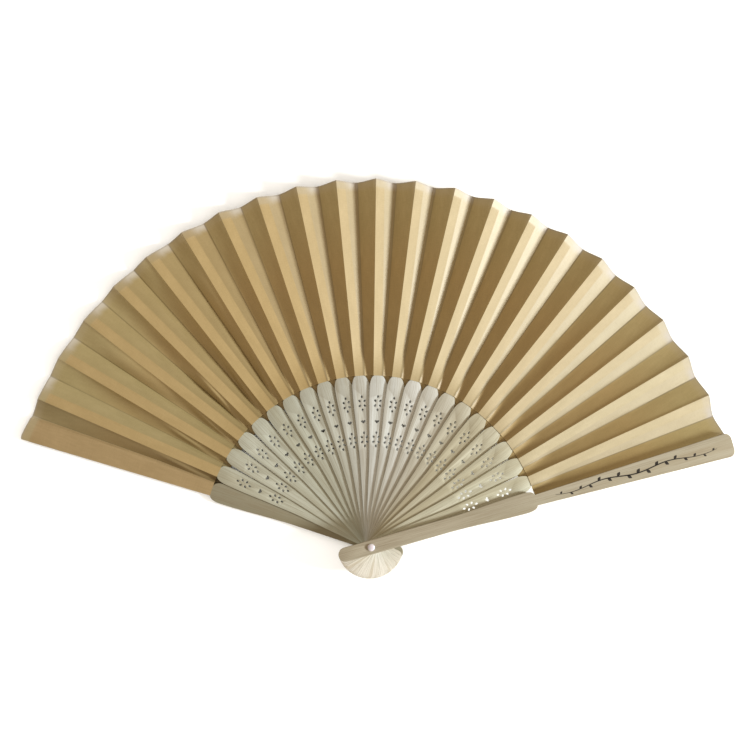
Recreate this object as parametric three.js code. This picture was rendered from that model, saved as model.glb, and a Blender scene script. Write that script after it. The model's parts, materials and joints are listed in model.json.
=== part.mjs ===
// A pleated hand fan: 21 pierced bamboo ribs and two guards turn on one rivet, and a folded
// silk leaf joins them. Millimetres. The fan lies open and flat: +Z is the pin's axis, +Y runs
// up the middle of the spread, and the origin is on the pin's axis, at its lowest point.
// The back guard lies lowest, at the left, and each stick to its right stands one step higher.

import * as THREE from 'three';
import { mergeVertices } from 'three/addons/utils/BufferGeometryUtils.js';

// ---- Driving dimensions ----
const RIB_COUNT = 21;
const SPREAD = 145.55;         // degrees from the back guard's left edge to the front guard's
const CROWDING = 0.236;        // how much wider the outer folds stand open than the middle ones,
const LEFT_SLACK = 0.037;      // how much wider the left folds stand than the right ones,
const END_PINCH = 0.174;       // and how much the guards take back from the folds next to them
const FACET_ANGLE = 3.67;      // degrees that one facet of the leaf, or a guard's blade, takes

const GUARD_REACH = 192.5;     // pin to a guard's tip
const TAIL_REACH = 17.3;       // pin to the end of a stick's tail
const GUARD_THICK = 2;
const GUARD_HEEL = 3.6;        // half width of a guard at the pin
const GUARD_SHOULDER = 5.2;    // half width of a guard where its handle part ends
const GUARD_TIP_CORNER = 2;    // radius of the tip's corners

const RIB_HEEL = 2.95;         // half width of a rib at the pin
const RIB_SHOULDER = 4.55;     // half width of a rib where its pierced part ends
const RIB_THICK = 0.5;
const BLADE_THICK = 0.4;
const BLADE_WIDTH = 5.2;
const BLADE_INSET = 0.3;       // from the leaf's fold to the blade's edge
const BLADE_END = 186;
const WAIST = 40;              // the sticks start to widen here,
const SHOULDER_START = 82.5;   // are widest here,
const SHOULDER_END = 87.8;     // and are down to the blade's width here
const RIB_STEP = 0.8;          // how much higher each rib stands than the one before it
const CLEARANCE = 0.3;         // between a guard and the rib next to it

const LEAF_INNER = 88;
const LEAF_OUTER = 190;
const LEAF_SCALLOP = 1.4;      // how much shorter the leaf is along its valleys
const LEAF_THICK = 0.2;
const LEAF_GAP = 0.12;         // the glue line under the leaf
const SEAM = 0.15;             // half of the slit between one pleat and the next
const TWIST_START = 84;        // a blade turns from flat
const TWIST_END = 104;         // to the slope of its facet between these radii
const LEAN_STEP = 3;           // degrees that a facet may lean more than the one before it

const PIN_RADIUS = 1.1;
const PIN_CLEARANCE = 0.045;
const REAR_HEAD_RADIUS = 2.2;
const REAR_HEAD_THICK = 0.7;
const CAP_RADIUS = 1.9;
const CAP_HEIGHT = 1.15;
const CAP_SOCKET = 0.6;
const HEAD_GAP = 0.1;          // between a head of the rivet and the guard
const HOLE_SIDES = 12;
const LATHE_SIDES = 24;

const DAISY_RADII = [55, 73.7];  // from the pin to the middle of each pierced daisy
const DAISY_PETALS = [[0, 3.4], [1.3, 1.26], [1.3, -1.26], [0, -3.4], [-1.3, -1.26], [-1.3, 1.26]];
const PETAL = { halfWidth: 0.45, halfLength: 0.65, sides: 6 };
const HEART_RADIUS = 64.2;
const HEART = { halfWidth: 1.1, height: 1.6 };

// ---- Worked out from them ----
const STICK_COUNT = RIB_COUNT + 2;
const FRONT = STICK_COUNT - 1;
const HALF_FACET = FACET_ANGLE / 2;
const rad = THREE.MathUtils.degToRad;
const ease = (t) => THREE.MathUtils.smoothstep(t, 0, 1);
const v2 = (x, y) => new THREE.Vector2(x, y);

const foldWeights = Array.from({ length: FRONT }, (_, i) => {
  const u = (2 * i - (FRONT - 1)) / (FRONT - 1);
  return 1 + CROWDING * u ** 2 - LEFT_SLACK * u - END_PINCH * u ** 8;
});
const weightSum = foldWeights.reduce((a, b) => a + b, 0);
// Degrees between stick i and stick i + 1 when the fan is open.
const foldGaps = foldWeights.map((w) => (SPREAD * w) / weightSum);

// The direction of each stick's left edge, which is also the leaf's mountain fold there.
const foldAngles = [90 + SPREAD / 2 + HALF_FACET];
for (const gap of foldGaps) foldAngles.push(foldAngles[foldAngles.length - 1] - gap);

// The underside of each stick.
const BACK_SEAT = REAR_HEAD_THICK + HEAD_GAP;
const FIRST_RIB_SEAT = BACK_SEAT + GUARD_THICK + CLEARANCE;
const FRONT_SEAT = FIRST_RIB_SEAT + (RIB_COUNT - 1) * RIB_STEP + RIB_THICK + CLEARANCE;
const seat = (k) => {
  if (k === 0) return BACK_SEAT;
  return k === FRONT ? FRONT_SEAT : FIRST_RIB_SEAT + (k - 1) * RIB_STEP;
};
// The underside of the leaf along each mountain fold. It is glued under the front guard.
const leafSeat = (k) => {
  if (k === FRONT) return FRONT_SEAT - LEAF_GAP - LEAF_THICK;
  return seat(k) + (k === 0 ? GUARD_THICK : BLADE_THICK) + LEAF_GAP;
};

// How far the facet glued to each stick leans, in radians. Two facets of FACET_ANGLE have to fit
// one fold, and a stack of closed ribs can lean only a little more from one rib to the next.
const leans = [0];
for (let k = 1; k < FRONT; k++) {
  const open = Math.acos(Math.min(1, foldGaps[k] / (2 * FACET_ANGLE)));
  leans.push(Math.min(open, leans[k - 1] + rad(LEAN_STEP)));
}

// How much of that lean the stick has taken up at this distance from the pin.
const twist = (radius) => ease((radius - TWIST_START) / (TWIST_END - TWIST_START));

// ---- Solids made from a plan and two heights ----

// A closed plate: faces are anticlockwise triangles of the plan's points, and each point has
// its own bottom and top height. Every edge that only one face has gets a wall.
function plate(points, faces, bottoms, tops) {
  const n = points.length;
  const position = [];
  points.forEach((p, i) => position.push(p.x, p.y, bottoms[i]));
  points.forEach((p, i) => position.push(p.x, p.y, tops[i]));
  const index = [];
  const edges = new Set(faces.flatMap(([a, b, c]) => [`${a} ${b}`, `${b} ${c}`, `${c} ${a}`]));
  for (const [a, b, c] of faces) {
    index.push(a + n, b + n, c + n, a, c, b);
    for (const [from, to] of [[a, b], [b, c], [c, a]]) {
      if (!edges.has(`${to} ${from}`)) index.push(from, to, to + n, from, to + n, from + n);
    }
  }
  const geometry = new THREE.BufferGeometry();
  geometry.setAttribute('position', new THREE.Float32BufferAttribute(position, 3));
  geometry.setIndex(index);
  return mergeVertices(geometry);
}

// Two triangles for each cell of a grid of points that is listed row by row, left to right.
function gridFaces(rowCount, columnCount, first = 0) {
  const faces = [];
  for (let row = 0; row < rowCount - 1; row++) {
    for (let column = 0; column < columnCount - 1; column++) {
      const a = first + row * columnCount + column;
      const b = a + columnCount;
      faces.push([a, a + 1, b + 1], [a, b + 1, b]);
    }
  }
  return faces;
}

// ---- Outlines, with the stick standing along +Y and the pin at the origin ----

const polygon = (x, y, halfWidth, halfLength, sides) =>
  Array.from({ length: sides }, (_, i) => {
    const a = (2 * Math.PI * (i + 0.5)) / sides;
    return v2(x + halfWidth * Math.cos(a), y + halfLength * Math.sin(a));
  });

function pinHole() {
  const r = (PIN_RADIUS + PIN_CLEARANCE) / Math.cos(Math.PI / HOLE_SIDES);
  return polygon(0, 0, r, r, HOLE_SIDES);
}

// The heart's lobes point away from the pin.
function heartHole() {
  const { halfWidth: w, height: h } = HEART;
  const half = [v2(0.5 * w, 0.5 * h), v2(w, 0.22 * h), v2(0.85 * w, -0.1 * h)];
  const mirrored = half.map((p) => v2(-p.x, p.y)).reverse();
  const outline = [v2(0, -0.5 * h), ...half.reverse(), v2(0, 0.25 * h), ...mirrored.reverse()];
  return outline.map((p) => v2(p.x, p.y + HEART_RADIUS));
}

function piercing() {
  const { halfWidth, halfLength, sides } = PETAL;
  const petals = DAISY_RADII.flatMap((radius) =>
    DAISY_PETALS.map(([x, y]) => polygon(x, radius + y, halfWidth, halfLength, sides)));
  return [heartHole(), ...petals];
}

// Half the stick's width at the height y, below its shoulder.
const halfWidth = (y, heel, shoulder) =>
  heel + (shoulder - heel) * ease((y - WAIST) / (SHOULDER_START - WAIST));

// The handle's outline, anticlockwise from its upper left corner round the tail to the right.
function handleOutline(heel, shoulder) {
  const heights = [SHOULDER_START, 76, 68, 60, 50, WAIST];
  const left = heights.map((y) => v2(-halfWidth(y, heel, shoulder), y));
  const right = left.map((p) => v2(-p.x, p.y)).reverse();
  const tail = Array.from({ length: 9 }, (_, i) => {
    const a = Math.PI + (Math.PI * i) / 8;
    return v2(heel * Math.cos(a), -TAIL_REACH + heel + heel * Math.sin(a));
  });
  return [...left, ...tail, ...right];
}

// Rows of [left, right] points that round the shoulders in from the handle to the blade.
function shoulderRows(shoulder, bladeLeft, bladeRight) {
  return [22.5, 45, 67.5, 90].map((degrees) => {
    const out = Math.cos(rad(degrees));
    const y = SHOULDER_START + (SHOULDER_END - SHOULDER_START) * Math.sin(rad(degrees));
    return [
      v2(bladeLeft.x + (-shoulder - bladeLeft.x) * out, y),
      v2(bladeRight.x + (shoulder - bladeRight.x) * out, y),
    ];
  });
}

// ---- Sticks ----

// A stick from its handle's outline, its holes and its blade's rows of [left, right] points.
// heights(point) gives the underside and the top.
function stickGeometry(outline, holes, rows, heights) {
  const clockwise = holes.map((hole) => (THREE.ShapeUtils.isClockWise(hole) ? hole : hole.reverse()));
  const points = [...outline, ...clockwise.flat()];
  const faces = THREE.ShapeUtils.triangulateShape(outline, clockwise);
  const first = points.length;
  points.push(...rows.flat());
  const joint = [[0, outline.length - 1, first + 1], [0, first + 1, first]];
  faces.push(...joint, ...gridFaces(rows.length, 2, first));
  const levels = points.map(heights);
  return plate(points, faces, levels.map((h) => h[0]), levels.map((h) => h[1]));
}

// A rib is flat below its shoulders. Its blade leans about the fold along its left edge.
function ribGeometry(k) {
  const slope = Math.tan(leans[k]);
  const along = v2(-Math.sin(rad(HALF_FACET)), Math.cos(rad(HALF_FACET)));
  const across = v2(along.y, -along.x);
  const onBlade = (reach, offset) =>
    along.clone().multiplyScalar(reach).addScaledVector(across, offset);
  const near = BLADE_INSET;
  const far = BLADE_INSET + BLADE_WIDTH * Math.cos(leans[k]);
  const bladeRow = (reach, trim = 0) => [onBlade(reach, near + trim), onBlade(reach, far - trim)];

  const foot = bladeRow(SHOULDER_END);
  const rows = [
    ...shoulderRows(RIB_SHOULDER, foot[0], foot[1]),
    ...[92, 96, 100, TWIST_END, BLADE_END - 1.2].map((reach) => bladeRow(reach)),
    bladeRow(BLADE_END - 0.35, 0.35),
    bladeRow(BLADE_END, 1.2),
  ];
  const heights = (p) => {
    const bottom = -slope * twist(p.length()) * p.dot(across);
    const thinning = ease((p.y - SHOULDER_START) / (SHOULDER_END - SHOULDER_START));
    return [bottom, bottom + THREE.MathUtils.lerp(RIB_THICK, BLADE_THICK, thinning)];
  };
  const outline = handleOutline(RIB_HEEL, RIB_SHOULDER);
  return stickGeometry(outline, [pinHole(), ...piercing()], rows, heights);
}

// A guard is flat, and its blade is a wedge as wide as one facet of the leaf.
function guardGeometry() {
  const half = (y) => y * Math.tan(rad(HALF_FACET));
  const row = (y, trim = 0) => [v2(trim - half(y), y), v2(half(y) - trim, y)];
  const foot = row(SHOULDER_END);
  const tip = [0, 30, 60, 90].map((degrees) => row(
    GUARD_REACH - GUARD_TIP_CORNER * (1 - Math.sin(rad(degrees))),
    GUARD_TIP_CORNER * (1 - Math.cos(rad(degrees))),
  ));
  const rows = [...shoulderRows(GUARD_SHOULDER, foot[0], foot[1]), ...tip];
  const outline = handleOutline(GUARD_HEEL, GUARD_SHOULDER);
  return stickGeometry(outline, [pinHole()], rows, () => [0, GUARD_THICK]);
}

// ---- Leaf ----

// The pleat from stick k to the next: a facet glued to stick k, which leans down from the
// mountain fold to the valley, and a free facet that climbs to the next mountain fold.
// It stands along +Y with the mountain fold on the Y axis, and its heights are from leafSeat(k).
function pleatGeometry(k) {
  const slope = Math.tan(leans[k]);
  const valley = Math.asin(Math.sin(rad(FACET_ANGLE)) * Math.cos(leans[k]));
  const next = rad(foldGaps[k]);
  const climb = leafSeat(k + 1) - leafSeat(k);
  const radii = [LEAF_INNER, 92, 96, 100, TWIST_END, 147, LEAF_OUTER];
  const points = [];
  const bottoms = [];
  const add = (radius, angle, shift, height) => {
    points.push(v2(radius * Math.sin(angle) + shift, radius * Math.cos(angle)));
    bottoms.push(height);
  };
  for (const radius of radii) {
    const dip = radius === LEAF_OUTER ? radius - LEAF_SCALLOP : radius;
    add(radius, 0, SEAM, 0);
    add(dip, valley, 0, -slope * twist(radius) * radius * Math.sin(valley));
    add(radius, next, -SEAM, climb);
    if (k + 1 === FRONT) add(radius, next + rad(FACET_ANGLE), -1, climb);
  }
  const faces = gridFaces(radii.length, points.length / radii.length);
  return plate(points, faces, bottoms, bottoms.map((z) => z + LEAF_THICK));
}

// ---- Rivet ----

// Revolves [radius, height] pairs about Z.
function turned(profile) {
  const lathe = new THREE.LatheGeometry(profile.map(([r, z]) => v2(r, z)), LATHE_SIDES);
  lathe.rotateX(Math.PI / 2);
  lathe.deleteAttribute('normal');
  lathe.deleteAttribute('uv');
  return mergeVertices(lathe);
}

const CAP_SEAT = FRONT_SEAT + GUARD_THICK + HEAD_GAP;
const POST_TOP = CAP_SEAT + CAP_SOCKET - HEAD_GAP;

function postGeometry() {
  const edge = 0.25;
  return turned([
    [0, 0], [REAR_HEAD_RADIUS - edge, 0], [REAR_HEAD_RADIUS, edge],
    [REAR_HEAD_RADIUS, REAR_HEAD_THICK], [PIN_RADIUS, REAR_HEAD_THICK],
    [PIN_RADIUS, POST_TOP], [0, POST_TOP],
  ]);
}

function capGeometry() {
  const skirt = 0.3;
  const dome = [0, 22.5, 45, 67.5].map((degrees) => [
    CAP_RADIUS * Math.cos(rad(degrees)),
    skirt + (CAP_HEIGHT - skirt) * Math.sin(rad(degrees)),
  ]);
  const bore = PIN_RADIUS + PIN_CLEARANCE;
  return turned([[0, CAP_SOCKET], [bore, CAP_SOCKET], [bore, 0], [CAP_RADIUS, 0],
    ...dome, [0, CAP_HEIGHT]]);
}

// ---- Assembly ----

const bamboo = (color) => new THREE.MeshStandardMaterial({ color, roughness: 0.55, metalness: 0 });
const silk = () => new THREE.MeshStandardMaterial({ color: 0xd9b988, roughness: 0.5, metalness: 0 });
const ivoryPlastic = () =>
  new THREE.MeshStandardMaterial({ color: 0xe4e0e8, roughness: 0.25, metalness: 0 });

function place(name, geometry, material, angle, height) {
  const mesh = new THREE.Mesh(geometry, material);
  mesh.name = name;
  mesh.rotation.z = rad(angle - 90);
  mesh.position.z = height;
  return mesh;
}

const numbered = (name, i) => `${name}_${String(i).padStart(2, '0')}`;
// A stick's middle line is half a facet to the right of its fold.
const middle = (k) => foldAngles[k] - HALF_FACET;

const sticks = new THREE.Group();
sticks.add(place('back_guard', guardGeometry(), bamboo(0xb5a27c), middle(0), seat(0)));
for (let k = 1; k <= RIB_COUNT; k++) {
  sticks.add(place(numbered('rib', k), ribGeometry(k), bamboo(0xcfc8b0), middle(k), seat(k)));
}
sticks.add(place('front_guard', guardGeometry(), bamboo(0xbcae88), middle(FRONT), seat(FRONT)));

const leaf = new THREE.Group();
for (let k = 0; k < FRONT; k++) {
  leaf.add(place(numbered('leaf_pleat', k + 1), pleatGeometry(k), silk(), foldAngles[k], leafSeat(k)));
}

const rivet = new THREE.Group();
rivet.add(place('rivet_post', postGeometry(), ivoryPlastic(), 90, 0));
rivet.add(place('rivet_cap', capGeometry(), ivoryPlastic(), 90, CAP_SEAT));

const fan = new THREE.Group();
fan.add(sticks, leaf, rivet);
export default fan;
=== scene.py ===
# A folding hand fan, open on a pale floor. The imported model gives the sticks' places and the
# folds' angles. Ribs, guards, rivet and the pleated silk leaf are modelled here around it.
import json
import math

import bpy
import numpy as np
from mathutils import Matrix, Vector

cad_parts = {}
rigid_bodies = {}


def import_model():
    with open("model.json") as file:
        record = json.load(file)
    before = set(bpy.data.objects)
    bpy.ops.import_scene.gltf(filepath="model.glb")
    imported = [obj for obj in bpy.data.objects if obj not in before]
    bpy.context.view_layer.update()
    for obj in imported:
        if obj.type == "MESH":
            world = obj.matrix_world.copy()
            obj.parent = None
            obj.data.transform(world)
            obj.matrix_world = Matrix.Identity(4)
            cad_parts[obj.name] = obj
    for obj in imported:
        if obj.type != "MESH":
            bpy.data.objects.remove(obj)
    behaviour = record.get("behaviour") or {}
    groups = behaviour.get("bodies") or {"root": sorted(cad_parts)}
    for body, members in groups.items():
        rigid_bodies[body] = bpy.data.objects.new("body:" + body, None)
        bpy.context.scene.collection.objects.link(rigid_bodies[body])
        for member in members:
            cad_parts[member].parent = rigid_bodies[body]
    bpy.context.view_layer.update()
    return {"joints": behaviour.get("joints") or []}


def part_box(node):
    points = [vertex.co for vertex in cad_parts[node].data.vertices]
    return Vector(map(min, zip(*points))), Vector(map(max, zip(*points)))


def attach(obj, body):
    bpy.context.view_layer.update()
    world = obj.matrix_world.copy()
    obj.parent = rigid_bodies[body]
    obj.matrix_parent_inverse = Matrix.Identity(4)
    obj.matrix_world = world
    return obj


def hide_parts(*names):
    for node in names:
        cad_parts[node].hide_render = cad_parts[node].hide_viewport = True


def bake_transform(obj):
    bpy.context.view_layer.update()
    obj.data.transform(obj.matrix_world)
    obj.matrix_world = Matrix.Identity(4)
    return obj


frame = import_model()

MM = 0.001

# ---------------------------------------------------------------- measures, in metres
FACET = math.radians(3.67)       # angle of one facet of the leaf, or of a guard's blade
HALF_FACET = FACET / 2
LEAN_STEP = math.radians(3)      # most that one rib's facet leans more than the last one's

GUARD_REACH = 192.5 * MM
TAIL_REACH = 17.3 * MM
GUARD_HEEL = 3.6 * MM
GUARD_SHOULDER = 5.2 * MM
GUARD_CORNER = 3.2 * MM          # how round the tip's two corners are
GUARD_EDGE = 0.32 * MM           # how round its long edges are
RIB_HEEL = 2.95 * MM
RIB_SHOULDER = 4.55 * MM
RIB_THICK = 0.5 * MM
RIB_EDGE = 0.09 * MM
RIB_CUTS = (-8, 8, 20, 32, 46, 84, 86, 89, 91, 93, 95, 97, 99, 101, 103, 106, 120, 135, 150,
            165, 178)            # millimetres from the pin
BLADE_THICK = 0.4 * MM
BLADE_WIDTH = 5.2 * MM
BLADE_INSET = 0.3 * MM
BLADE_END = 186 * MM
BLADE_CORNER = 1.2 * MM
WAIST = 40 * MM
SHOULDER_START = 82.5 * MM
SHOULDER_END = 87.8 * MM
TWIST_START = 84 * MM
TWIST_END = 104 * MM
TAIL_PALE_FROM, TAIL_PALE_OVER = -2 * MM, 8 * MM    # where the sticks grow pale below the pin

LEAF_INNER = 88 * MM
LEAF_OUTER = 190 * MM
LEAF_SCALLOP = 1.4 * MM
LEAF_GLUE = 0.12 * MM            # between a blade and the silk on it
SILK_THICK = 0.14 * MM

HOLE_RADIUS = 1.185 * MM
DAISIES = (55 * MM, 73.7 * MM)
PETALS = [(0, 3.4), (1.3, 1.26), (1.3, -1.26), (0, -3.4), (-1.3, -1.26), (-1.3, 1.26)]
PETAL_WIDE, PETAL_LONG = 0.51 * MM, 0.71 * MM       # half of each petal's width and length
HEART_AT = 64.2 * MM
HEART_WIDE, HEART_SQUASH = 1.18 * MM, 0.85
CUTTER_DEPTH = 2.4 * MM

PIN_RADIUS = 1.1 * MM
PIN_IN_CAP = 0.4 * MM            # how far the pin goes into the cap
HEAD_GAP = 0.1 * MM              # between the rear head and the back guard
HEAD_EDGE = 0.22 * MM
CAP_RIM = 0.25 * MM

# ---------------------------------------------------------------- places read from the frame
joints = frame["joints"]
gaps = [math.radians(joint["range_deg"][1]) for joint in joints]
bodies = [joints[0]["parent"]] + [joint["child"] for joint in joints]
FRONT = len(bodies) - 1
folds = [math.pi / 2 + (sum(gaps) + FACET) / 2]
for gap in gaps:
    folds.append(folds[-1] - gap)

guard_low, guard_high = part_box("back_guard")
GUARD_THICK = guard_high.z - guard_low.z
rivet_low, rivet_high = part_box("rivet_post")
cap_low, cap_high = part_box("rivet_cap")
CAP_RADIUS = (cap_high.x - cap_low.x) / 2
HEAD_RADIUS = (rivet_high.x - rivet_low.x) / 2


def seat(k):
    """The height of the flat underside of stick k."""
    low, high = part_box(bodies[k])
    return low.z if k in (0, FRONT) else high.z - RIB_THICK


def leaf_seat(k):
    """The height of the leaf's underside along the fold over stick k."""
    if k == FRONT:
        return seat(k) - LEAF_GLUE - SILK_THICK
    return seat(k) + (GUARD_THICK if k == 0 else BLADE_THICK) + LEAF_GLUE


leans = [0.0]
for k in range(1, FRONT):
    opened = math.acos(min(1.0, gaps[k] / (2 * FACET)))
    leans.append(min(opened, leans[-1] + LEAN_STEP))


def ease(t):
    t = np.clip(t, 0, 1)
    return t * t * (3 - 2 * t)


def twist(radius):
    return ease((radius - TWIST_START) / (TWIST_END - TWIST_START))


# ---------------------------------------------------------------- modelling helpers
def deselect():
    if bpy.context.object and bpy.context.object.mode != "OBJECT":
        bpy.ops.object.mode_set(mode="OBJECT")
    bpy.ops.object.select_all(action="DESELECT")


def only(piece):
    deselect()
    piece.select_set(True)
    bpy.context.view_layer.objects.active = piece


def coordinates(mesh):
    co = np.empty(len(mesh.vertices) * 3)
    mesh.vertices.foreach_get("co", co)
    return co.reshape(-1, 3)


def move_points(mesh, co):
    mesh.vertices.foreach_set("co", np.asarray(co, np.float32).ravel())
    mesh.update()


def smooth(piece, degrees):
    only(piece)
    bpy.ops.object.shade_smooth_by_angle(angle=math.radians(degrees))


def flat_shape(name, outline, thick):
    """A disc pulled out to the outline, then extruded upwards."""
    deselect()
    bpy.ops.mesh.primitive_circle_add(vertices=len(outline), radius=0.01, fill_type="NGON")
    piece = bpy.context.object
    piece.name = piece.data.name = name
    move_points(piece.data, [(x, y, 0) for x, y in outline])
    bpy.ops.object.mode_set(mode="EDIT")
    bpy.ops.mesh.select_all(action="SELECT")
    bpy.ops.mesh.normals_make_consistent(inside=False)
    bpy.ops.mesh.extrude_region_move(TRANSFORM_OT_translate={"value": (0, 0, thick)})
    bpy.ops.mesh.select_all(action="SELECT")
    bpy.ops.mesh.normals_make_consistent(inside=False)
    bpy.ops.object.mode_set(mode="OBJECT")
    return piece


def cut_rows(piece, heights):
    """Straight cuts across the piece, so that it can turn there."""
    only(piece)
    bpy.ops.object.mode_set(mode="EDIT")
    for y in heights:
        bpy.ops.mesh.select_all(action="SELECT")
        bpy.ops.mesh.bisect(plane_co=(0, y, 0), plane_no=(0, 1, 0))
    bpy.ops.object.mode_set(mode="OBJECT")


def soften_edges(piece, offset, segments):
    """Rounds every edge that is sharper than 50 degrees."""
    only(piece)
    bpy.ops.object.mode_set(mode="EDIT")
    bpy.ops.mesh.select_mode(type="EDGE")
    bpy.ops.mesh.select_all(action="DESELECT")
    bpy.ops.mesh.edges_select_sharp(sharpness=math.radians(50))
    bpy.ops.mesh.bevel(offset=offset, segments=segments, affect="EDGES", clamp_overlap=True)
    bpy.ops.object.mode_set(mode="OBJECT")


def cut_out(piece, cutter):
    only(piece)
    modifier = piece.modifiers.new("cut", "BOOLEAN")
    modifier.operation = "DIFFERENCE"
    modifier.solver = "EXACT"
    modifier.object = cutter
    bpy.ops.object.modifier_apply(modifier=modifier.name)
    bpy.data.objects.remove(cutter, do_unlink=True)


def join(pieces):
    only(pieces[0])
    for piece in pieces:
        piece.select_set(True)
    bpy.ops.object.join()
    return bpy.context.object


def thicken(piece, thick):
    """Pulls a thin sheet upwards into a closed piece."""
    only(piece)
    bpy.ops.object.mode_set(mode="EDIT")
    bpy.ops.mesh.select_all(action="SELECT")
    bpy.ops.mesh.extrude_region_move(TRANSFORM_OT_translate={"value": (0, 0, thick)})
    bpy.ops.mesh.select_all(action="SELECT")
    bpy.ops.mesh.normals_make_consistent(inside=False)
    bpy.ops.object.mode_set(mode="OBJECT")


def copy_of(piece, name):
    twin = piece.copy()
    twin.data = piece.data.copy()
    twin.name = twin.data.name = name
    bpy.context.scene.collection.objects.link(twin)
    return twin


def set_uv(mesh, uv_of_points):
    """One UV pair for each vertex, in centimetres."""
    layer = mesh.uv_layers.get("Along") or mesh.uv_layers.new(name="Along")
    corner = np.empty(len(mesh.loops), np.int32)
    mesh.loops.foreach_get("vertex_index", corner)
    layer.data.foreach_set("uv", np.asarray(uv_of_points, np.float32)[corner].ravel())
    while len(mesh.uv_layers) > 1:
        spare = next(x for x in mesh.uv_layers if x.name != "Along")
        mesh.uv_layers.remove(spare)


def mark(mesh, name, values):
    """Keeps one number for each vertex, for the materials to read."""
    layer = mesh.attributes.get(name) or mesh.attributes.new(name, "FLOAT", "POINT")
    full = np.empty(len(mesh.vertices), np.float32)
    full[:] = values
    layer.data.foreach_set("value", full)


def turn_to(co, angle, height):
    """Points modelled along +Y, turned to stand in this direction and raised."""
    turned = co @ np.array(Matrix.Rotation(angle - math.pi / 2, 3, "Z")).T
    turned[:, 2] += height
    return turned


# ---------------------------------------------------------------- materials
def new_material(name, **sockets):
    """A Principled material, with each constant set on the shader's own socket."""
    material = bpy.data.materials.new(name)
    material.use_nodes = True
    shader = material.node_tree.nodes["Principled BSDF"]
    for socket, value in sockets.items():
        shader.inputs[socket.replace("_", " ")].default_value = value
    return material, material.node_tree, shader


def node(tree, kind, **settings):
    made = tree.nodes.new(kind)
    for name, value in settings.items():
        if name in made.inputs:
            made.inputs[name].default_value = value
        else:
            setattr(made, name, value)
    return made


def uv_at(tree, scale, location=(0, 0, 0)):
    """The piece's own UV map, scaled."""
    uv = node(tree, "ShaderNodeUVMap", uv_map="Along")
    mapping = node(tree, "ShaderNodeMapping", Scale=scale, Location=location)
    tree.links.new(uv.outputs["UV"], mapping.inputs["Vector"])
    return mapping.outputs["Vector"]


def marked(tree, name):
    """What mark() kept: Place is 0 at the back guard and 1 at the front one, Tail is 1 at a
    stick's tail, and Loose is 1 on the silk between the blades."""
    return node(tree, "ShaderNodeAttribute", attribute_name=name).outputs["Fac"]


def noise(tree, vector, scale, detail=3.0, roughness=0.5):
    made = node(tree, "ShaderNodeTexNoise", Scale=scale, Detail=detail, Roughness=roughness)
    tree.links.new(vector, made.inputs["Vector"])
    return made.outputs["Fac"]


def ramp(tree, value, stops):
    """A colour ramp from (position, colour) pairs."""
    made = node(tree, "ShaderNodeValToRGB")
    elements = made.color_ramp.elements
    while len(elements) < len(stops):
        elements.new(0.5)
    for element, (position, colour) in zip(elements, stops):
        element.position = position
        element.color = (*colour, 1)
    tree.links.new(value, made.inputs["Fac"])
    return made.outputs["Color"]


def mix(tree, factor, a, b, blend="MIX"):
    """Mixes two colours. Each may be a socket or a colour, and factor a socket or a number."""
    made = node(tree, "ShaderNodeMix", data_type="RGBA", blend_type=blend)
    for index, value in ((0, factor), (6, a), (7, b)):
        if isinstance(value, bpy.types.NodeSocket):
            tree.links.new(value, made.inputs[index])
        elif index == 0:
            made.inputs[index].default_value = value
        else:
            made.inputs[index].default_value = (*value, 1)
    return made.outputs[2]


def math_node(tree, operation, a, b=0.0, c=0.0):
    made = node(tree, "ShaderNodeMath", operation=operation)
    for index, value in enumerate((a, b, c)):
        if isinstance(value, bpy.types.NodeSocket):
            tree.links.new(value, made.inputs[index])
        else:
            made.inputs[index].default_value = value
    return made.outputs[0]


def step_between(tree, value, start, end):
    """0 below start, 1 above end, smooth between. Turned round if start is above end."""
    made = node(tree, "ShaderNodeMapRange", interpolation_type="SMOOTHSTEP")
    made.inputs["From Min"].default_value = min(start, end)
    made.inputs["From Max"].default_value = max(start, end)
    made.inputs["To Min"].default_value = 0.0 if start < end else 1.0
    made.inputs["To Max"].default_value = 1.0 if start < end else 0.0
    tree.links.new(value, made.inputs["Value"])
    return made.outputs["Result"]


def bump(tree, shader, height, strength, distance):
    made = node(tree, "ShaderNodeBump", Strength=strength, Distance=distance)
    tree.links.new(height, made.inputs["Height"])
    tree.links.new(made.outputs["Normal"], shader.inputs["Normal"])


STREAKS, HAIR_LINES, FLECKS = 0.50, 0.45, 0.35      # how strong each kind of mark is


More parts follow.
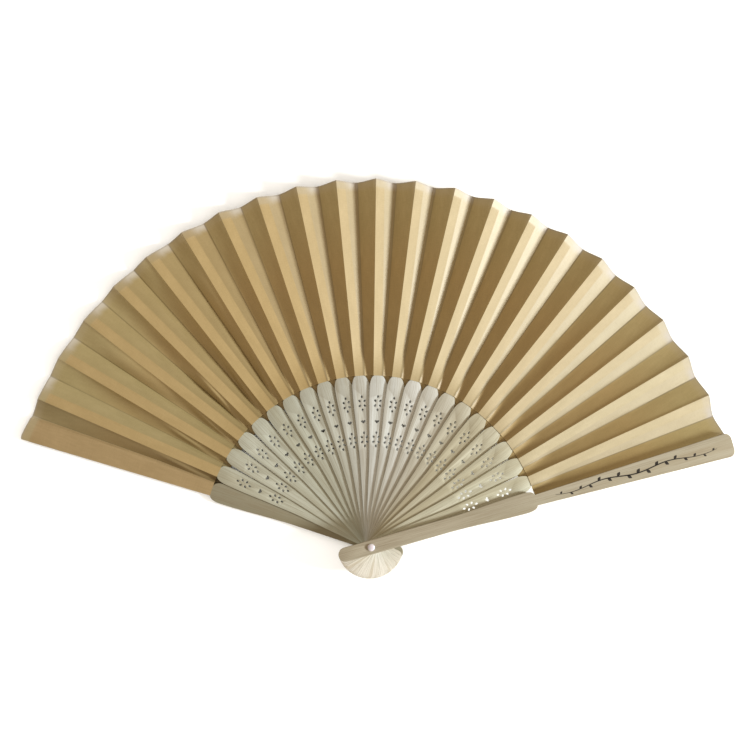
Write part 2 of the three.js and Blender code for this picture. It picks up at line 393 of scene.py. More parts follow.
def bamboo(name, tones, tail, dark, roughness):
    """Split bamboo: straight fibres, short darker dashes, and a tone that drifts from strip to strip
    and round the fan, as the tones say from the back guard to the front one. The drift round the fan
    is partly the strips' own tone and partly painted light. The tails have a colour of their own."""
    material, tree, shader = new_material(name, IOR=1.45, Coat_Weight=0.08, Coat_Roughness=0.35)
    broad = noise(tree, uv_at(tree, (0.9, 0.06, 1)), 1.0, 2.0)
    fibres = noise(tree, uv_at(tree, (28, 0.35, 1)), 1.0, 4.0, 0.6)
    hairs = noise(tree, uv_at(tree, (75, 0.5, 1), (5, 2, 0)), 1.0, 2.0)
    dashes = noise(tree, uv_at(tree, (55, 2.2, 1), (3, 7, 0)), 1.0, 1.0)
    drift = ramp(tree, broad, [(0.34, (0.86, 0.82, 0.75)), (0.50, (0.98, 0.98, 0.97)),
                               (0.66, (1.10, 1.10, 1.12))])
    tone = mix(tree, marked(tree, "Tail"), ramp(tree, marked(tree, "Place"), tones), tail)
    tone = mix(tree, 1.0, tone, drift, "MULTIPLY")
    streaked = mix(tree, step_between(tree, fibres, 0.42, 0.72), tone, dark)
    tone = mix(tree, STREAKS, tone, streaked)
    lined = mix(tree, step_between(tree, hairs, 0.58, 0.68), tone, dark)
    tone = mix(tree, HAIR_LINES, tone, lined)
    flecked = mix(tree, step_between(tree, dashes, 0.64, 0.74), tone, dark)
    tree.links.new(mix(tree, FLECKS, tone, flecked), shader.inputs["Base Color"])
    shine = node(tree, "ShaderNodeMapRange")
    shine.inputs["To Min"].default_value = roughness - 0.08
    shine.inputs["To Max"].default_value = roughness + 0.1
    tree.links.new(fibres, shine.inputs["Value"])
    tree.links.new(shine.outputs["Result"], shader.inputs["Roughness"])
    bump(tree, shader, fibres, 0.25, 0.00012)
    return material


# Where the silk changes, in centimetres across from the fold or out from the pin. Each pair
# gives the start and the end of a soft edge.
GLUED_ACROSS, GLUED_OUT = (0.56, 0.48), (18.64, 18.52)
HEM, RIM = (18.35, 18.95), (18.90, 18.96)
HEM_ACROSS = (0.35, 0.95)
RIM_COLOUR, RIM_STRENGTH = (0.40, 0.37, 0.32), 0.55
SATIN, MATT = 0.37, 0.68         # roughness of the loose silk, and of the glued silk
WHITE, BLACK = (1.0, 1.0, 1.0), (0.0, 0.0, 0.0)


def silk(name, backed, lit, loose, hem):
    """Gold silk. Glued on a blade it is paler and matt, and loose between blades it is satiny. The
    glued, unbacked and loose parts and the hem each have their colours from the back guard to the
    front one, and these paint light round the fan: the silk is darker towards the back guard as
    painted shade, and the glued and unbacked silk is paler towards the front guard as a painted sheen.
    The unbacked silk on the glued facets and the loose silk are one silk, coloured as lit and shaded
    copies. The unbacked and loose silk grow darker towards the pin, and the creases are darker, as
    painted shade. The hem is frayed, and paler on the glued facets, which face the key light, as a
    painted highlight. U runs across the pleat from its fold, V out from the pin, both in centimetres."""
    material, tree, shader = new_material(
        name, Sheen_Weight=0.12, Sheen_Roughness=0.35, Sheen_Tint=(1.0, 0.96, 0.88, 1), IOR=1.52)
    uv = node(tree, "ShaderNodeUVMap", uv_map="Along")
    apart = node(tree, "ShaderNodeSeparateXYZ")
    tree.links.new(uv.outputs["UV"], apart.inputs["Vector"])
    across, out = apart.outputs["X"], apart.outputs["Y"]
    mottle = noise(tree, uv_at(tree, (1.4, 0.45, 1)), 1.0, 4.0, 0.6)
    slub = noise(tree, uv_at(tree, (30, 1.6, 1)), 1.0, 3.0)
    weft = noise(tree, uv_at(tree, (3.5, 34, 1)), 1.0, 2.0)
    uneven = math_node(tree, "MULTIPLY_ADD", mottle, 0.05, -0.025)
    across = math_node(tree, "ADD", across, uneven)

    band = math_node(tree, "MULTIPLY", step_between(tree, across, *GLUED_ACROSS),
                     step_between(tree, out, *GLUED_OUT))
    place, between = marked(tree, "Place"), marked(tree, "Loose")
    outward = math_node(tree, "MULTIPLY_ADD", out, 0.1, -0.9)
    # Painted shade: these two ramps darken the unbacked silk and, more so, the loose silk towards the
    # pin.
    shade = ramp(tree, outward, [(0.0, (0.80, 0.78, 0.74)), (0.6, (0.95, 0.95, 0.95)), (1.0, WHITE)])
    deeper_shade = ramp(tree, outward, [(0.0, (0.79, 0.72, 0.66)), (0.55, (0.945, 0.86, 0.79)),
                                  (0.86, (0.99, 0.99, 0.985)), (1.0, WHITE)])
    # Painted light: lit and loose are two ramps for one unbacked silk, tuned as its lit and shaded
    # copies, and both are darker towards the back guard as painted shade.
    unbacked = mix(tree, 1.0, ramp(tree, place, lit), shade, "MULTIPLY")
    slack = mix(tree, 1.0, ramp(tree, place, loose), deeper_shade, "MULTIPLY")
    plain = mix(tree, band, mix(tree, between, unbacked, slack), ramp(tree, place, backed))
    glued = math_node(tree, "SUBTRACT", 1.0, between)
    # Painted shade: the silk is darkened towards black along the valley crease, where Loose turns from
    # 0 to 1.
    crease = math_node(tree, "MULTIPLY", between, glued)
    plain = mix(tree, crease, plain, BLACK)
    patchy = ramp(tree, mottle, [(0.3, (0.88, 0.87, 0.83)), (0.7, WHITE)])
    drift = mix(tree, 1.0, plain, patchy, "MULTIPLY")
    threads = mix(tree, 0.5, slub, weft)
    woven = ramp(tree, threads, [(0.35, (0.80, 0.79, 0.75)), (0.65, WHITE)])
    grain = mix(tree, 0.6, drift, woven, "MULTIPLY")
    frayed = math_node(tree, "MULTIPLY_ADD", mottle, 0.5, -0.25)
    edge = step_between(tree, math_node(tree, "ADD", out, frayed), *HEM)
    rim = math_node(tree, "MULTIPLY", step_between(tree, out, *RIM), RIM_STRENGTH)
    # Painted highlight: the hem's pale edge is much stronger on the glued facets, which face the key
    # light, than on the loose ones; the rest is the hem's own colour.
    on_lit_facet = math_node(tree, "MULTIPLY", step_between(tree, across, *HEM_ACROSS), glued)
    hem_paleness_and_highlight = math_node(tree, "MULTIPLY_ADD", on_lit_facet, 0.55, 0.15)
    edged = mix(tree, math_node(tree, "MULTIPLY", edge, hem_paleness_and_highlight), grain, ramp(tree, place, hem))
    tree.links.new(mix(tree, rim, edged, RIM_COLOUR), shader.inputs["Base Color"])

    shine = node(tree, "ShaderNodeMapRange")
    shine.inputs["To Min"].default_value = SATIN
    shine.inputs["To Max"].default_value = MATT
    tree.links.new(math_node(tree, "MULTIPLY_ADD", slub, 0.3, math_node(tree, "MULTIPLY", band, 0.7)),
                   shine.inputs["Value"])
    tree.links.new(shine.outputs["Result"], shader.inputs["Roughness"])

    warp_threads = node(tree, "ShaderNodeTexWave", bands_direction="X", Scale=9.0)
    weft_threads = node(tree, "ShaderNodeTexWave", bands_direction="Y", Scale=9.0)
    for threads_node in (warp_threads, weft_threads):
        tree.links.new(uv_at(tree, (1, 1, 1)), threads_node.inputs["Vector"])
    weave = math_node(tree, "MULTIPLY", warp_threads.outputs["Fac"], weft_threads.outputs["Fac"])
    relief = math_node(tree, "ADD", weave, slub)
    bump(tree, shader, relief, 0.3, 0.00006)
    return material


def same_all_round(colour):
    """One colour from the back guard to the front one."""
    return [(0.0, colour), (1.0, colour)]


# The colours are given from the back guard, at 0, to the front guard, at 1.
# Painted shade: the back guard is given a darker tone than the front guard.
guard_bamboo = bamboo(
    "guard_bamboo", [(0.0, (0.31, 0.295, 0.215)), (1.0, (0.42, 0.39, 0.30))], (0.40, 0.35, 0.27),
    (0.23, 0.17, 0.10), 0.5)
# Painted light in the ribs' tones: besides the strips' own differences, the ribs are darker towards
# the back guard as painted shade and brightest at the middle ribs as a painted highlight.
rib_bamboo = bamboo(
    "rib_bamboo",
    [(0.09, (0.54, 0.565, 0.485)), (0.23, (0.55, 0.595, 0.53)), (0.36, (0.49, 0.51, 0.45)),
     (0.46, (0.66, 0.70, 0.70)), (0.52, (0.71, 0.755, 0.76)), (0.64, (0.65, 0.665, 0.63)),
     (0.77, (0.55, 0.53, 0.41)), (0.91, (0.63, 0.64, 0.52))],
    (0.77, 0.75, 0.69), (0.28, 0.24, 0.15), 0.5)
# Painted light in these ramps: the silk is darker towards the back guard as painted shade, and the
# glued and unbacked silk is paler towards the front guard as a painted sheen.
leaf_silk = silk(
    "leaf_silk",
    [(0.05, (0.535, 0.405, 0.197)), (0.20, (0.525, 0.395, 0.187)), (0.36, (0.525, 0.39, 0.180)),
     (0.46, (0.575, 0.46, 0.255)), (0.60, (0.552, 0.455, 0.265)), (0.80, (0.552, 0.458, 0.282)),
     (0.92, (0.58, 0.51, 0.34)), (1.0, (0.57, 0.49, 0.32))],
    [(0.05, (0.49, 0.415, 0.218)), (0.10, (0.475, 0.395, 0.20)), (0.20, (0.445, 0.35, 0.17)),
     (0.28, (0.44, 0.335, 0.162)), (0.38, (0.52, 0.42, 0.245)), (0.50, (0.54, 0.45, 0.27)),
     (0.65, (0.58, 0.49, 0.29)), (0.76, (0.54, 0.46, 0.29)), (0.84, (0.59, 0.53, 0.375)),
     (1.0, (0.60, 0.53, 0.38))],
    [(0.0, (0.39, 0.32, 0.155)), (0.06, (0.455, 0.385, 0.195)), (0.12, (0.54, 0.46, 0.245)),
     (0.30, (0.575, 0.475, 0.245)),
     (0.86, (0.578, 0.475, 0.245)), (0.93, (0.51, 0.42, 0.21)), (1.0, (0.54, 0.455, 0.23))],
    [(0.3, (0.66, 0.64, 0.60)), (0.7, (0.50, 0.475, 0.46))])
guard_silk = silk(
    "guard_silk", same_all_round((0.47, 0.35, 0.185)), same_all_round((0.48, 0.395, 0.22)),
    same_all_round((0.34, 0.275, 0.14)), same_all_round((0.62, 0.58, 0.50)))


def gloss_plastic():
    material, tree, shader = new_material(
        "rivet_plastic", Roughness=0.18, IOR=1.5, Subsurface_Weight=0.1,
        Subsurface_Scale=0.001, Coat_Weight=0.3, Coat_Roughness=0.08)
    where = node(tree, "ShaderNodeTexCoord")
    cloud = noise(tree, where.outputs["Object"], 900.0, 2.0)
    colour = ramp(tree, cloud, [(0.3, (0.72, 0.70, 0.80)), (0.7, (0.80, 0.79, 0.87))])
    tree.links.new(colour, shader.inputs["Base Color"])
    bump(tree, shader, cloud, 0.05, 0.00005)
    return material


def printed_ink():
    material, tree, shader = new_material("printed_ink", Roughness=0.4)
    where = node(tree, "ShaderNodeTexCoord")
    patch = noise(tree, where.outputs["Object"], 2500.0, 2.0)
    colour = ramp(tree, patch, [(0.35, (0.012, 0.011, 0.010)), (0.75, (0.05, 0.045, 0.04))])
    tree.links.new(colour, shader.inputs["Base Color"])
    return material


rivet_plastic = gloss_plastic()
ink = printed_ink()


def give_material(piece, material):
    piece.data.materials.clear()
    piece.data.materials.append(material)


def finish(piece, body, material, node_name):
    """Gives a piece its material and its body, and hides the CAD node that it stands for."""
    give_material(piece, material)
    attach(piece, body)
    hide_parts(node_name)


# ---------------------------------------------------------------- sticks
def handle_half_width(y, heel, shoulder):
    return heel + (shoulder - heel) * float(ease((y - WAIST) / (SHOULDER_START - WAIST)))


def stick_outline(heel, shoulder, blade_left, blade_right, tip):
    """Anticlockwise from the upper left of the handle, round the tail and out along the blade."""
    heights = np.linspace(SHOULDER_START, WAIST, 15)
    left = [(-handle_half_width(y, heel, shoulder), y) for y in heights]
    tail = [(heel * math.cos(a), -TAIL_REACH + heel + heel * math.sin(a))
            for a in np.linspace(math.pi, 2 * math.pi, 21)]
    right = [(-x, y) for x, y in reversed(left)]
    corner = []
    for a in np.linspace(0, math.pi / 2, 9)[1:]:
        y = SHOULDER_START + (SHOULDER_END - SHOULDER_START) * math.sin(a)
        corner.append((math.cos(a), y))
    out_right = [(blade_right[0] + (shoulder - blade_right[0]) * c, y) for c, y in corner]
    out_left = [(blade_left[0] + (-shoulder - blade_left[0]) * c, y) for c, y in corner]
    return left + tail + right + out_right + tip + out_left[::-1]


def round_corner(centre, radius, start, end, count=6):
    return [(centre[0] + radius * math.cos(a), centre[1] + radius * math.sin(a))
            for a in np.linspace(start, end, count)]


def drill(radius_at, radius, thick):
    deselect()
    bpy.ops.mesh.primitive_cylinder_add(
        vertices=40, radius=radius, depth=4 * thick, location=(*radius_at, thick / 2))
    return bpy.context.object


def petal_cutters():
    """The pierced pattern's cutters: two daisies of six petals, and a heart between them."""
    cutters = []
    for middle in DAISIES:
        for x, y in PETALS:
            deselect()
            bpy.ops.mesh.primitive_cylinder_add(vertices=16, radius=1, depth=1)
            petal = bpy.context.object
            co = coordinates(petal.data) * (PETAL_WIDE, PETAL_LONG, CUTTER_DEPTH)
            slant = math.atan2(x, y) if x else 0.0
            co = co @ np.array(Matrix.Rotation(-slant, 3, "Z")).T
            move_points(petal.data, co + (x * MM, middle + y * MM, RIB_THICK / 2))
            cutters.append(petal)
    turns = np.linspace(0, 2 * math.pi, 28, endpoint=False)
    heart = [(16 * math.sin(t) ** 3, 13 * math.cos(t) - 5 * math.cos(2 * t)
              - 2 * math.cos(3 * t) - math.cos(4 * t)) for t in turns]
    size = HEART_WIDE / 16
    outline = [(x * size, y * size * HEART_SQUASH + HEART_AT) for x, y in heart]
    shape = flat_shape("heart_cutter", outline, CUTTER_DEPTH)
    move_points(shape.data, coordinates(shape.data) - (0, 0, 1 * MM))
    cutters.append(shape)
    return join(cutters)


def blade_frame():
    """The unit vectors along and across a blade whose fold leans half a facet to the left."""
    along = np.array((-math.sin(HALF_FACET), math.cos(HALF_FACET)))
    return along, np.array((along[1], -along[0]))


def rib_pattern():
    """One flat rib with its pin hole and its piercing, standing along +Y."""
    along, across = blade_frame()
    near, far = BLADE_INSET, BLADE_INSET + BLADE_WIDTH
    foot_left = along * SHOULDER_END + across * near
    foot_right = along * SHOULDER_END + across * far
    slant = math.atan2(across[1], across[0])
    right = along * (BLADE_END - BLADE_CORNER) + across * (far - BLADE_CORNER)
    left = along * (BLADE_END - BLADE_CORNER) + across * (near + BLADE_CORNER)
    tip = round_corner(right, BLADE_CORNER, slant, slant + math.pi / 2)
    tip += round_corner(left, BLADE_CORNER, slant + math.pi / 2, slant + math.pi)
    outline = stick_outline(RIB_HEEL, RIB_SHOULDER, foot_left, foot_right, tip)
    rib = flat_shape("rib_pattern", outline, RIB_THICK)
    cut_out(rib, join([drill((0, 0), HOLE_RADIUS, RIB_THICK), petal_cutters()]))
    cut_rows(rib, [y * MM for y in RIB_CUTS])
    soften_edges(rib, RIB_EDGE, 2)
    return rib


def lean_rib(co, k):
    """Narrows the blade as its facet leans, thins it, lets it down about its fold."""
    along, across = blade_frame()
    offset = co[:, :2] @ across
    neck = ease((co[:, 1] - SHOULDER_START) / (SHOULDER_END - SHOULDER_START))
    narrow = (offset - BLADE_INSET) * neck * (math.cos(leans[k]) - 1)
    co[:, :2] += narrow[:, None] * across
    offset = co[:, :2] @ across
    co[:, 2] *= 1 - neck * (1 - BLADE_THICK / RIB_THICK)
    radius = np.hypot(co[:, 0], co[:, 1])
    co[:, 2] -= math.tan(leans[k]) * twist(radius) * offset
    return co


def stick_uv(co, k):
    """U across the stick, V along it, shifted so that no two sticks are cut from one place."""
    return np.column_stack([co[:, 0] * 100 + co[:, 2] * 60 + 2.7 * k, co[:, 1] * 100 + 31.0 * (k % 7)])


def make_ribs():
    pattern = rib_pattern()
    for k in range(1, FRONT):
        rib = copy_of(pattern, f"bamboo_rib_{k:02d}")
        co = coordinates(rib.data)
        set_uv(rib.data, stick_uv(co, k))
        mark(rib.data, "Place", k / FRONT)
        mark(rib.data, "Tail", ease((TAIL_PALE_FROM - co[:, 1]) / TAIL_PALE_OVER))
        move_points(rib.data, turn_to(lean_rib(co, k), folds[k] - HALF_FACET, seat(k)))
        smooth(rib, 40)
        finish(rib, bodies[k], rib_bamboo, bodies[k])
    bpy.data.objects.remove(pattern, do_unlink=True)


def make_guard(k, name, reach):
    corner = GUARD_CORNER
    edge = math.tan(HALF_FACET)
    foot = SHOULDER_END * edge
    wide = reach * edge
    tip = round_corner((wide - corner, reach - corner), corner, -HALF_FACET, math.pi / 2)
    tip += round_corner((corner - wide, reach - corner), corner, math.pi / 2, math.pi + HALF_FACET)
    outline = stick_outline(GUARD_HEEL, GUARD_SHOULDER, (-foot, 0), (foot, 0), tip)
    guard = flat_shape(name, outline, GUARD_THICK)
    cut_out(guard, drill((0, 0), HOLE_RADIUS, GUARD_THICK))
    soften_edges(guard, GUARD_EDGE, 3)
    co = coordinates(guard.data)
    set_uv(guard.data, stick_uv(co, k + 3))
    mark(guard.data, "Place", k / FRONT)
    move_points(guard.data, turn_to(co, folds[k] - HALF_FACET, seat(k)))
    smooth(guard, 40)
    finish(guard, bodies[k], guard_bamboo, bodies[k])


# ---------------------------------------------------------------- rivet
def dome(name, radius, height, rim, base):
    """A round head: the upper half of a sphere, flattened, on a short straight rim."""
    deselect()
    bpy.ops.mesh.primitive_uv_sphere_add(segments=64, ring_count=32, radius=radius)
    piece = bpy.context.object
    piece.name = piece.data.name = name
    bpy.ops.object.mode_set(mode="EDIT")
    bpy.ops.mesh.select_all(action="SELECT")
    bpy.ops.mesh.bisect(plane_co=(0, 0, 0), plane_no=(0, 0, 1), clear_inner=True, use_fill=True)
    bpy.ops.mesh.select_all(action="SELECT")
    bpy.ops.mesh.normals_make_consistent(inside=False)
    bpy.ops.object.mode_set(mode="OBJECT")
    co = coordinates(piece.data)
    on_base = co[:, 2] < radius * 0.001
    co[:, 2] = co[:, 2] / radius * (height - rim) + rim
    co[on_base, 2] = 0
    co[:, 2] += base
    move_points(piece.data, co)
    return piece


def make_rivet():
    cap = dome("rivet_button", CAP_RADIUS, cap_high.z - cap_low.z, CAP_RIM, cap_low.z)
    smooth(cap, 50)
    finish(cap, bodies[0], rivet_plastic, "rivet_cap")

    thick = guard_low.z - rivet_low.z - HEAD_GAP
    pin_end = cap_low.z + PIN_IN_CAP
    deselect()
    bpy.ops.mesh.primitive_cylinder_add(
        vertices=64, radius=PIN_RADIUS, depth=pin_end - thick / 2,
        location=(0, 0, (pin_end + thick / 2) / 2))
    post = bpy.context.object
    bpy.ops.object.transform_apply(location=True)
    deselect()
    bpy.ops.mesh.primitive_cylinder_add(
        vertices=64, radius=HEAD_RADIUS, depth=thick, location=(0, 0, thick / 2))
    head = bpy.context.object
    bpy.ops.object.transform_apply(location=True)
    soften_edges(head, HEAD_EDGE, 4)
    union = post.modifiers.new("one_piece", "BOOLEAN")
    union.operation = "UNION"
    union.object = head
    only(post)
    bpy.ops.object.modifier_apply(modifier=union.name)
    bpy.data.objects.remove(head, do_unlink=True)
    post.name = post.data.name = "rivet_pin"
    smooth(post, 40)
    finish(post, bodies[0], rivet_plastic, "rivet_post")


# ---------------------------------------------------------------- leaf
FACET_COLUMNS = 12
LEAF_ROWS = 64
LEAF_MIDDLE = 140 * MM
SLACK_AT_EDGE = 4.0 * MM         # a slack pleat keeps its facet flat for this far at the pin,
SLACK_SPREAD = 0.048             # and this much more for each unit of radius
SLACK_DROOP = 1.9 * MM           # a slack pleat's valley hangs this much lower
FOLD_STEP = 0.7 * MM             # the silk drops this far over a blade's edge
STEP_WIDTH = 0.9 * MM
HANG, HANG_REACH = 1.1 * MM, 20 * MM    # and hangs this low between the ribs' shoulders
BACKED_WIDTH = 5.7 * MM          # the part of a facet that lies on a rib's blade
CREASE_RISE, CREASE_WIDTH = 0.16 * MM, 1.2 * MM     # how far the valley's soft bend lifts it
# The shade sheet: silk put in the gaps between the ribs' shoulders, where there is only shade, so that
# they show dark.
SHADE_SHEET_INNER, SHADE_SHEET_DROP = 83.6 * MM, 0.48 * MM
GUARD_COVER = 1.7 * MM           # the silk reaches this far past the leaf's edge over the guard
TAB_COLUMNS, TAB_SHARE = 4, 0.86 # the tab under the front guard, as a share of a facet


def slackness(k):
    """1 for the pleats near the back guard, which aren't drawn tight, and 0 from the eighth on."""
    return float(ease((7.2 - k) / 3.5))


def valley_angle(k, radius):
    """The angle from the fold over stick k to the valley beside it."""
    tight = math.asin(math.sin(FACET) * math.cos(leans[k]))
    slack = (SLACK_AT_EDGE + SLACK_SPREAD * radius) / radius
    return tight + (np.minimum(slack, 0.68 * gaps[k]) - tight) * slackness(k)


def pleat_heights(k, radius, angle, across, valley, share):
    """The height of the silk's underside over the fold of stick k.

    The glued facet lies on the leaning blade, and the free facet climbs to the next fold and
    over the next blade's edge. The valley is a soft crease, and the silk between blades is slack
    by an amount that varies."""
    slope = math.tan(leans[k])
    climb = leaf_seat(k + 1) - leaf_seat(k)
    glued = -slope * twist(radius) * radius * np.sin(np.minimum(angle, valley))
    bottom = -slope * twist(radius) * radius * np.sin(valley)
    droop = SLACK_DROOP * slackness(k) * ease((radius - LEAF_INNER) / HANG_REACH + 0.3)
    backed_to = radius * FACET if k == 0 else BACKED_WIDTH
    to_valley = np.maximum(radius * valley - backed_to, 0.5 * MM)
    glued = glued - droop * np.clip((across - backed_to) / to_valley, 0, 1) ** 2.6
    bottom = bottom - droop
    t = np.clip(share, 0, 1)
    from_fold = radius * (gaps[k] - angle)
    drop = FOLD_STEP * ease(from_fold / STEP_WIDTH) * (1 - 0.6 * t ** 4)
    free = bottom + (climb - bottom) * t - drop * t
    height = np.where(share <= 0, glued, free)
    before_valley = np.exp(-((angle - valley) * radius / CREASE_WIDTH) ** 2)
    near_valley = np.exp(-(share / 0.10) ** 2) * np.where(share < 0, before_valley, 1)
    height = height + CREASE_RISE * near_valley

    along = (radius - LEAF_INNER) / (LEAF_OUTER - LEAF_INNER)
    slack = slackness(k)
    phase = 2.39 * k
    arch = np.sin(math.pi * t)
    billow = arch * (0.7 * np.sin(4.2 * along + phase) + 0.3 * np.sin(9.3 * along + 1.7 * phase))
    centre = 0.15 + 0.9 * (along - 0.06 - 0.05 * math.sin(phase)) / 0.34
    pucker = arch * np.exp(-((t - centre) / 0.26) ** 2) * np.exp(-((along - 0.22) / 0.17) ** 2)
    gather = arch * np.sin(3 * math.pi * t + phase) * ease(1 - along / 0.35)
    sag = (0.15 + 1.1 * slack) * billow * ease(3 * along)
    sag = sag + (0.10 + 0.9 * slack) * pucker * (1 if math.sin(1.3 * phase) > -0.5 else -1)
    sag = sag + (0.06 + 0.12 * slack) * gather
    sag = sag - HANG / MM * arch * (1 - ease((radius - LEAF_INNER) / HANG_REACH))
    sag = np.where(share > 0, sag, 0)
    unbacked = ease((across - 5.6 * MM) / (4 * MM)) * ease((valley - angle) * radius / (2 * MM))
    sag = sag + np.where(share <= 0, 0.22 * slack * unbacked * np.sin(5.0 * along + phase), 0)
    return np.where((angle < 1e-9), 0.0, np.where(share > 1 - 1e-9, climb, height + sag * MM))


def make_pleat(k):
    glued = list(np.linspace(-1, 0, FACET_COLUMNS + 1))
    free = list(np.linspace(0, 1, FACET_COLUMNS + 1)[1:-1]) + [0.95, 0.97, 0.985, 1]
    columns = np.array(glued + free)
    if k + 1 == FRONT:
        columns = np.append(columns, 1 + np.linspace(0, 1, TAB_COLUMNS + 1)[1:])
    across_count = len(columns)
    rows = LEAF_INNER + (LEAF_OUTER - LEAF_INNER) * np.linspace(0, 1, LEAF_ROWS)
    deselect()
    bpy.ops.mesh.primitive_grid_add(
        x_subdivisions=across_count - 1, y_subdivisions=LEAF_ROWS - 1, size=1)
    pleat = bpy.context.object
    pleat.name = pleat.data.name = f"silk_pleat_{k + 1:02d}"
    co = coordinates(pleat.data)
    column = np.rint((co[:, 0] + 0.5) * (across_count - 1)).astype(int)
    row = np.rint((co[:, 1] + 0.5) * (LEAF_ROWS - 1)).astype(int)
    place, radius = columns[column], rows[row]
    valley = valley_angle(k, radius)
    free_angle = valley + (gaps[k] - valley) * np.minimum(place, 1)
    angle = np.where(place <= 0, valley * (1 + place), free_angle)
    angle = angle + np.clip(place - 1, 0, 1) * FACET * TAB_SHARE
    share = (angle - valley) / (gaps[k] - valley)

    lift = ease((row / (LEAF_ROWS - 1) - 0.9) / 0.1)
    hollow = np.where(angle <= valley, np.sin(0.5 * math.pi * angle / valley),
                      np.cos(0.5 * math.pi * np.clip(share, 0, 1)))
    scallop = LEAF_SCALLOP * (1 - 0.7 * slackness(k))
    reach = radius - scallop * hollow ** 1.4 * lift
    if k == 0:
        at_corner = np.exp(-(angle * radius / (0.9 * MM)) ** 2)
        cover = np.clip(1 - angle / valley, 0, 1) ** 0.7 - 0.45 * at_corner
        reach = reach + GUARD_COVER * cover * lift
    across = radius * angle
    height = pleat_heights(k, radius, angle, across, valley, share)
    if k + 1 == FRONT:
        height = np.where(place > 1, leaf_seat(FRONT) - leaf_seat(k), height)
    placed = np.column_stack([reach * np.sin(angle), reach * np.cos(angle), height])
    move_points(pleat.data, turn_to(placed, folds[k], leaf_seat(k)))
    width = np.where(angle <= valley, across / max(math.cos(leans[k]), 0.5), across + 1.0 * MM)
    if k == 0:
        width = np.where(place <= 0, width * 0.40, width)
    set_uv(pleat.data, np.column_stack([width * 100, radius * 100]))
    # A sheet put in the gap beside this pleat, where there is only shade, shows the gap dark.
    if k + 1 < FRONT:
        pleat = join([pleat, make_shade_sheet(k)])

    thicken(pleat, SILK_THICK)
    smooth(pleat, 35)
    give_material(pleat, guard_silk if k == 0 else leaf_silk)
    crease = float(valley_angle(k, LEAF_MIDDLE))
    ends = np.array([[LEAF_MIDDLE * math.sin(a), LEAF_MIDDLE * math.cos(a), 0]
                     for a in (crease, gaps[k])])
    start, end = turn_to(ends, folds[k], 0)
    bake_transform(pleat)
    turn_with_fold(pleat, k)
    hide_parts(f"leaf_pleat_{k + 1:02d}")
    outer, inner = 2 * LEAF_OUTER * FACET, 2 * LEAF_INNER * FACET
    area = (outer + inner) / 2 * (LEAF_OUTER - LEAF_INNER)
    if k + 1 == FRONT:
        area *= 1.5
        outer *= 1.5


def make_shade_sheet(k):
    """A sheet of silk below the shoulders of the two ribs beside it, filling the gap between them
    where there is only shade, so that the gap shows dark: painted shade.
    """
    deselect()
    bpy.ops.mesh.primitive_grid_add(x_subdivisions=8, y_subdivisions=4, size=1)
    shade_sheet = bpy.context.object
    co = coordinates(shade_sheet.data) + 0.5
    radius = SHADE_SHEET_INNER + (LEAF_INNER + 1.2 * MM - SHADE_SHEET_INNER) * co[:, 1]
    low, high = math.radians(2.9), gaps[k] + math.radians(0.7)
    angle = low + (high - low) * co[:, 0]
    sag = 0.15 * MM * np.sin(math.pi * co[:, 0])
    height = seat(k) - leaf_seat(k) - SHADE_SHEET_DROP - SILK_THICK - sag
    placed = np.column_stack([radius * np.sin(angle), radius * np.cos(angle), height])
    move_points(shade_sheet.data, turn_to(placed, folds[k], leaf_seat(k)))
    set_uv(shade_sheet.data, np.column_stack([radius * angle * 100 + 1.0, radius * 100]))
    return shade_sheet


def turn_with_fold(pleat, k):
    """Marks Place round the fan, in step with each point's share of the way from the valley to the
    next fold. The same share marks where the silk is loose."""
    co = coordinates(pleat.data)
    angle = folds[k] - np.arctan2(co[:, 1], co[:, 0])
    valley = valley_angle(k, np.hypot(co[:, 0], co[:, 1]))
    weight = np.clip((angle - valley) / (gaps[k] - valley), 0, 1)
    mark(pleat.data, "Place", (k + 0.25 + 0.75 * weight) / FRONT)
    mark(pleat.data, "Loose", weight > 0.01)


# ---------------------------------------------------------------- printed sprig
SPRIG_START, SPRIG_LENGTH = 98 * MM, 86 * MM
SPRIG_LEAVES, SPRIG_WAVE, SPRIG_STEM = 17, 0.9 * MM, 0.24 * MM
INK_THICK, INK_SUNK = 0.02 * MM, 0.005 * MM


def sprig_wave(t):
    """How far the stem swings to the side at this share of its length."""
    return SPRIG_WAVE * np.sin(t * 5 * math.pi)


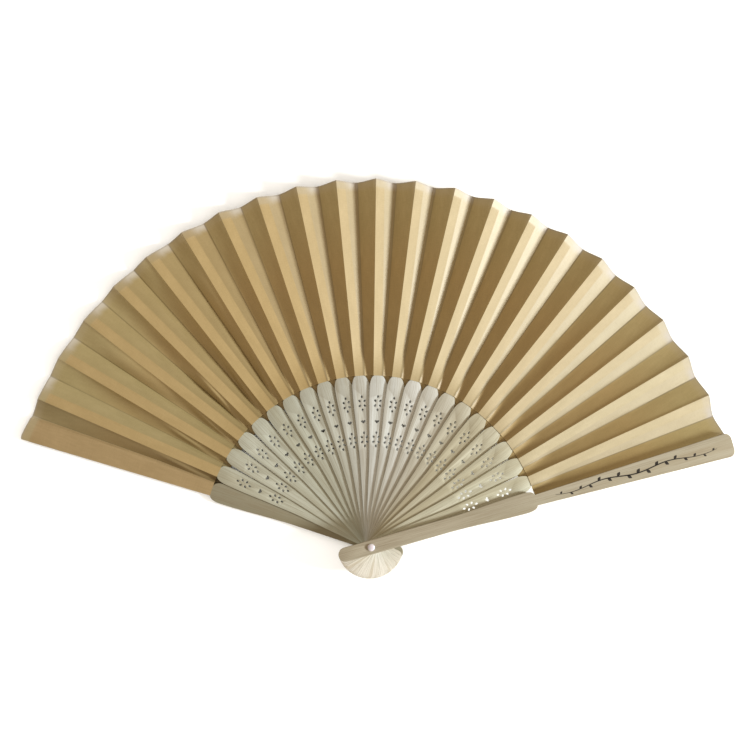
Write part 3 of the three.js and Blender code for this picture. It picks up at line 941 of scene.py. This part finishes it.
def make_sprig():
    """A small printed sprig on the front guard: a waving stem with leaves on alternate sides."""
    pieces = []
    deselect()
    bpy.ops.mesh.primitive_grid_add(x_subdivisions=90, y_subdivisions=1, size=1)
    stem = bpy.context.object
    co = coordinates(stem.data)
    t = co[:, 0] + 0.5
    thick = SPRIG_STEM * (0.35 + np.sin(math.pi * np.clip(t, 0, 1)))
    sides = sprig_wave(t) + np.sign(co[:, 1]) * thick
    move_points(stem.data, np.column_stack([sides, SPRIG_START + t * SPRIG_LENGTH, 0 * t]))
    pieces.append(stem)
    for i in range(SPRIG_LEAVES):
        t = (i + 0.5) / SPRIG_LEAVES
        side = 1 if i % 2 else -1
        size = 0.55 + 0.45 * math.sin(math.pi * t)
        deselect()
        bpy.ops.mesh.primitive_circle_add(vertices=24, radius=1, fill_type="NGON")
        leaf = bpy.context.object
        co = coordinates(leaf.data)
        swell = 1 - 0.75 * np.abs(co[:, 1]) ** 1.5
        co = np.column_stack([co[:, 0] * 0.85 * MM * size * swell,
                              (co[:, 1] + 1) * 1.5 * MM * size, 0 * co[:, 0]])
        co = co @ np.array(Matrix.Rotation(-side * 0.75, 3, "Z")).T
        co += (float(sprig_wave(t)), SPRIG_START + t * SPRIG_LENGTH, 0)
        move_points(leaf.data, co)
        pieces.append(leaf)
    sprig = join(pieces)
    sprig.name = sprig.data.name = "guard_sprig"
    thicken(sprig, INK_THICK)
    on_guard = seat(FRONT) + GUARD_THICK - INK_SUNK
    move_points(sprig.data, turn_to(coordinates(sprig.data), folds[FRONT] - HALF_FACET, on_guard))
    give_material(sprig, ink)
    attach(sprig, bodies[FRONT])


# ---------------------------------------------------------------- floor, light and camera
KEY_AZIMUTH, KEY_ELEVATION = math.radians(-9), math.radians(26)
KEY_DISTANCE, KEY_SIZE, KEY_POWER = 1.3, 0.24, 20
KEY_COLOUR = (0.97, 1.0, 1.0)
KEY_AIM = Vector((0, 90 * MM, 0))
ROOM_COLOUR, ROOM_STRENGTH = (1.0, 0.80, 0.58, 1), 0.50
OVERHEAD_COLOUR, OVERHEAD_POWER = (0.96, 1.0, 1.02), 2.6
OVERHEAD_SPREAD = math.radians(150)
FLOOR_WIDE = 60
CAMERA_PLACE, CAMERA_TURN = (0, 88.24 * MM, 900 * MM), math.radians(1.26)
CAMERA_LENS, CAMERA_SENSOR = 82.4, 36


def make_stage():
    deselect()
    bpy.ops.mesh.primitive_plane_add(size=FLOOR_WIDE, location=(0, 0, 0))
    floor = bpy.context.object
    floor.name = "floor"
    material, tree, shader = new_material("pale_floor", Roughness=0.9)
    where = node(tree, "ShaderNodeTexCoord")
    patch = noise(tree, where.outputs["Object"], 2.0, 2.0)
    colour = ramp(tree, patch, [(0.3, (0.88, 0.88, 0.88)), (0.7, (0.90, 0.90, 0.90))])
    tree.links.new(colour, shader.inputs["Base Color"])
    floor.data.materials.append(material)

    # The room lights the fan warmly, and shows as plain white behind it.
    world = bpy.context.scene.world or bpy.data.worlds.new("studio")
    bpy.context.scene.world = world
    world.use_nodes = True
    tree = world.node_tree
    warm = tree.nodes["Background"]
    warm.inputs["Color"].default_value = ROOM_COLOUR
    warm.inputs["Strength"].default_value = ROOM_STRENGTH
    white = node(tree, "ShaderNodeBackground", Color=(1, 1, 1, 1), Strength=1.0)
    rays = node(tree, "ShaderNodeLightPath")
    either = node(tree, "ShaderNodeMixShader")
    tree.links.new(rays.outputs["Is Camera Ray"], either.inputs[0])
    tree.links.new(warm.outputs[0], either.inputs[1])
    tree.links.new(white.outputs[0], either.inputs[2])
    tree.links.new(either.outputs[0], tree.nodes["World Output"].inputs["Surface"])

    way = Vector((math.cos(KEY_ELEVATION) * math.cos(KEY_AZIMUTH),
                  math.cos(KEY_ELEVATION) * math.sin(KEY_AZIMUTH), math.sin(KEY_ELEVATION)))
    add_light("key", KEY_SIZE, KEY_POWER, KEY_COLOUR, KEY_AIM + way * KEY_DISTANCE, way)

    # A broad light overhead whitens the floor alone.
    sky = bpy.data.lights.new("floor_light", "SUN")
    sky.energy = OVERHEAD_POWER
    sky.angle = OVERHEAD_SPREAD
    sky.color = OVERHEAD_COLOUR
    overhead = bpy.data.objects.new("floor_light", sky)
    bpy.context.scene.collection.objects.link(overhead)
    lit_floor = bpy.data.collections.new("lit_by_floor_light")
    lit_floor.objects.link(floor)
    overhead.light_linking.receiver_collection = lit_floor


def add_light(name, size, power, colour, place, way):
    light = bpy.data.lights.new(name, "AREA")
    light.shape = "DISK"
    light.size = size
    light.energy = power
    light.color = colour
    lamp = bpy.data.objects.new(name, light)
    lamp.location = place
    lamp.rotation_euler = way.to_track_quat("Z", "Y").to_euler()
    lamp.visible_camera = False
    bpy.context.scene.collection.objects.link(lamp)
    return lamp


def make_camera():
    data = bpy.data.cameras.new("camera")
    data.sensor_width = CAMERA_SENSOR
    data.lens = CAMERA_LENS
    camera = bpy.data.objects.new("camera", data)
    camera.location = CAMERA_PLACE
    camera.rotation_euler = (0, 0, CAMERA_TURN)
    bpy.context.scene.collection.objects.link(camera)
    bpy.context.scene.camera = camera


# ---------------------------------------------------------------- the fan
make_camera()
make_ribs()
make_guard(0, "back_guard_board", LEAF_OUTER)
make_guard(FRONT, "front_guard_board", GUARD_REACH)
make_rivet()
for k in range(FRONT):
    make_pleat(k)
make_sprig()
make_stage()
bpy.context.scene.view_settings.view_transform = "Standard"
